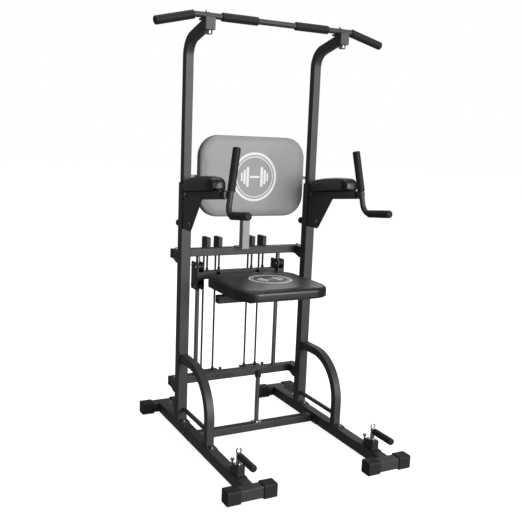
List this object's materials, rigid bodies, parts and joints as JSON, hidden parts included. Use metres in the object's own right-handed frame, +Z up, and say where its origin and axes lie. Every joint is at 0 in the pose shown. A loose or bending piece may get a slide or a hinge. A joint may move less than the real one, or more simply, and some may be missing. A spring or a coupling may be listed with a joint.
{
  "type": "power tower",
  "caption": "Free-standing pull-up and dip tower with height-adjustable bar, arm pads, back rest, cord-assisted sliding seat and push-up handles.",
  "frame": {"origin": "on the floor, under the middle of the base", "axes": "+Z up, +X to the right, +Y to the back of the machine"},
  "size_m": [1.158, 1.104, 1.9668],
  "materials": {
    "frame_steel": "satin charcoal powder coat",
    "black_rubber": "matte moulded rubber",
    "grip_foam": "matte closed-cell foam",
    "black_vinyl": "soft grained vinyl",
    "grey_vinyl": "soft grained light grey vinyl",
    "grey_steel": "satin light grey paint",
    "polished_rod": "hard chrome",
    "zinc_bolts": "zinc plated",
    "black_nylon": "moulded nylon",
    "elastic_cord": "braided elastic cord"
  },
  "bodies": {
    "frame": {"base_frame_left": "frame_steel", "base_frame_right": "frame_steel", "floor_crossbar": "frame_steel", "lower_upright_left": "frame_steel", "lower_upright_right": "frame_steel", "side_brace_left": "frame_steel", "side_brace_right": "frame_steel", "upper_crossbar": "frame_steel", "lower_crossbar": "frame_steel", "dip_arm_left": "frame_steel", "dip_arm_right": "frame_steel", "dip_handles": "frame_steel", "foot_caps": "black_rubber", "stop_buffer": "black_rubber", "dip_grips": "grip_foam", "arm_pad_left": "black_vinyl", "arm_pad_right": "black_vinyl", "backrest_pad": "grey_vinyl", "backrest_post": "grey_steel", "backrest_bar": "grey_steel", "guide_rods": "polished_rod", "stop_post": "polished_rod", "frame_bolts": "zinc_bolts", "cord_back_runs": "elastic_cord", "upright_sleeves": "black_nylon", "pulley_housings": "black_nylon", "cord_anchors": "black_nylon", "pushup_sockets": "black_nylon"},
    "upper_frame": {"upper_upright_left": "frame_steel", "upper_upright_right": "frame_steel", "pull_up_bar": "frame_steel", "bar_grips": "grip_foam", "bar_clamps": "frame_steel", "clamp_bolts": "zinc_bolts"},
    "carriage": {"carriage": "frame_steel", "roller_axles": "zinc_bolts", "seat_frame": "frame_steel", "seat_pad": "black_vinyl", "cord_front_runs": "elastic_cord"},
    "roller_left_upper_front": {"roller_left_upper_front": "black_nylon"},
    "roller_left_upper_rear": {"roller_left_upper_rear": "black_nylon"},
    "roller_left_lower_front": {"roller_left_lower_front": "black_nylon"},
    "roller_left_lower_rear": {"roller_left_lower_rear": "black_nylon"},
    "roller_right_upper_front": {"roller_right_upper_front": "black_nylon"},
    "roller_right_upper_rear": {"roller_right_upper_rear": "black_nylon"},
    "roller_right_lower_front": {"roller_right_lower_front": "black_nylon"},
    "roller_right_lower_rear": {"roller_right_lower_rear": "black_nylon"},
    "cord_pulley_1": {"cord_pulley_1": "black_nylon"},
    "cord_pulley_2": {"cord_pulley_2": "black_nylon"},
    "cord_pulley_3": {"cord_pulley_3": "black_nylon"},
    "cord_pulley_4": {"cord_pulley_4": "black_nylon"},
    "height_pin_left": {"height_pin_left": "black_nylon"},
    "height_pin_right": {"height_pin_right": "black_nylon"},
    "pushup_pin_left": {"pushup_pin_left": "zinc_bolts"},
    "pushup_pin_right": {"pushup_pin_right": "zinc_bolts"},
    "pushup_handle_left": {"pushup_handle_left": "polished_rod", "pushup_grip_left": "grip_foam"},
    "pushup_handle_right": {"pushup_handle_right": "polished_rod", "pushup_grip_right": "grip_foam"}
  },
  "joints": [
    {"name": "carriage_slide", "type": "slide", "parent": "frame", "child": "carriage", "axis": [0, 0, 1], "range_m": [-0.355, 0], "stiffness_N_per_m": 700, "springref_m": 0.35, "deforming": ["cord_front_runs"]},
    {"name": "height_adjust", "type": "slide", "parent": "frame", "child": "upper_frame", "axis": [0, 0, 1], "range_m": [-0.15, 0.1]},
    {"name": "roller_left_upper_front_spin", "type": "hinge", "parent": "carriage", "child": "roller_left_upper_front", "pos_m": [-0.225, 0.3286, 0.8], "axis": [1, 0, 0], "range_deg": [-1500, 1500]},
    {"name": "roller_left_upper_rear_spin", "type": "hinge", "parent": "carriage", "child": "roller_left_upper_rear", "pos_m": [-0.225, 0.3794, 0.8], "axis": [1, 0, 0], "range_deg": [-1500, 1500]},
    {"name": "roller_left_lower_front_spin", "type": "hinge", "parent": "carriage", "child": "roller_left_lower_front", "pos_m": [-0.225, 0.3286, 0.702], "axis": [1, 0, 0], "range_deg": [-1500, 1500]},
    {"name": "roller_left_lower_rear_spin", "type": "hinge", "parent": "carriage", "child": "roller_left_lower_rear", "pos_m": [-0.225, 0.3794, 0.702], "axis": [1, 0, 0], "range_deg": [-1500, 1500]},
    {"name": "roller_right_upper_front_spin", "type": "hinge", "parent": "carriage", "child": "roller_right_upper_front", "pos_m": [0.225, 0.3286, 0.8], "axis": [1, 0, 0], "range_deg": [-1500, 1500]},
    {"name": "roller_right_upper_rear_spin", "type": "hinge", "parent": "carriage", "child": "roller_right_upper_rear", "pos_m": [0.225, 0.3794, 0.8], "axis": [1, 0, 0], "range_deg": [-1500, 1500]},
    {"name": "roller_right_lower_front_spin", "type": "hinge", "parent": "carriage", "child": "roller_right_lower_front", "pos_m": [0.225, 0.3286, 0.702], "axis": [1, 0, 0], "range_deg": [-1500, 1500]},
    {"name": "roller_right_lower_rear_spin", "type": "hinge", "parent": "carriage", "child": "roller_right_lower_rear", "pos_m": [0.225, 0.3794, 0.702], "axis": [1, 0, 0], "range_deg": [-1500, 1500]},
    {"name": "cord_pulley_1_spin", "type": "hinge", "parent": "frame", "child": "cord_pulley_1", "pos_m": [-0.158, 0.417, 0.902], "axis": [1, 0, 0], "range_deg": [-1500, 1500]},
    {"name": "cord_pulley_2_spin", "type": "hinge", "parent": "frame", "child": "cord_pulley_2", "pos_m": [-0.093, 0.417, 0.902], "axis": [1, 0, 0], "range_deg": [-1500, 1500]},
    {"name": "cord_pulley_3_spin", "type": "hinge", "parent": "frame", "child": "cord_pulley_3", "pos_m": [0.093, 0.417, 0.902], "axis": [1, 0, 0], "range_deg": [-1500, 1500]},
    {"name": "cord_pulley_4_spin", "type": "hinge", "parent": "frame", "child": "cord_pulley_4", "pos_m": [0.158, 0.417, 0.902], "axis": [1, 0, 0], "range_deg": [-1500, 1500]},
    {"name": "height_pin_left_pull", "type": "slide", "parent": "frame", "child": "height_pin_left", "axis": [0, 1, 0], "range_m": [0, 0.014], "stiffness_N_per_m": 500, "springref_m": -0.01},
    {"name": "height_pin_right_pull", "type": "slide", "parent": "frame", "child": "height_pin_right", "axis": [0, 1, 0], "range_m": [0, 0.014], "stiffness_N_per_m": 500, "springref_m": -0.01},
    {"name": "pushup_swivel_left", "type": "hinge", "parent": "frame", "child": "pushup_handle_left", "pos_m": [-0.34, -0.408, 0.1], "axis": [0, 0, 1], "range_deg": [-90, 90]},
    {"name": "pushup_pin_left_pull", "type": "slide", "parent": "frame", "child": "pushup_pin_left", "axis": [0, 0, 1], "range_m": [0, 0.008], "stiffness_N_per_m": 300, "springref_m": -0.01},
    {"name": "pushup_swivel_right", "type": "hinge", "parent": "frame", "child": "pushup_handle_right", "pos_m": [0.34, -0.408, 0.1], "axis": [0, 0, 1], "range_deg": [-90, 90]},
    {"name": "pushup_pin_right_pull", "type": "slide", "parent": "frame", "child": "pushup_pin_right", "axis": [0, 0, 1], "range_m": [0, 0.008], "stiffness_N_per_m": 300, "springref_m": -0.01}
  ],
  "couplings": [
    {"joint": "roller_left_upper_front_spin", "follows": "carriage_slide", "rad_per_m": 71.429},
    {"joint": "roller_left_upper_rear_spin", "follows": "carriage_slide", "rad_per_m": -71.429},
    {"joint": "roller_left_lower_front_spin", "follows": "carriage_slide", "rad_per_m": 71.429},
    {"joint": "roller_left_lower_rear_spin", "follows": "carriage_slide", "rad_per_m": -71.429},
    {"joint": "roller_right_upper_front_spin", "follows": "carriage_slide", "rad_per_m": 71.429},
    {"joint": "roller_right_upper_rear_spin", "follows": "carriage_slide", "rad_per_m": -71.429},
    {"joint": "roller_right_lower_front_spin", "follows": "carriage_slide", "rad_per_m": 71.429},
    {"joint": "roller_right_lower_rear_spin", "follows": "carriage_slide", "rad_per_m": -71.429},
    {"joint": "cord_pulley_1_spin", "follows": "carriage_slide", "rad_per_m": -45.455},
    {"joint": "cord_pulley_2_spin", "follows": "carriage_slide", "rad_per_m": -45.455},
    {"joint": "cord_pulley_3_spin", "follows": "carriage_slide", "rad_per_m": -45.455},
    {"joint": "cord_pulley_4_spin", "follows": "carriage_slide", "rad_per_m": -45.455}
  ]
}
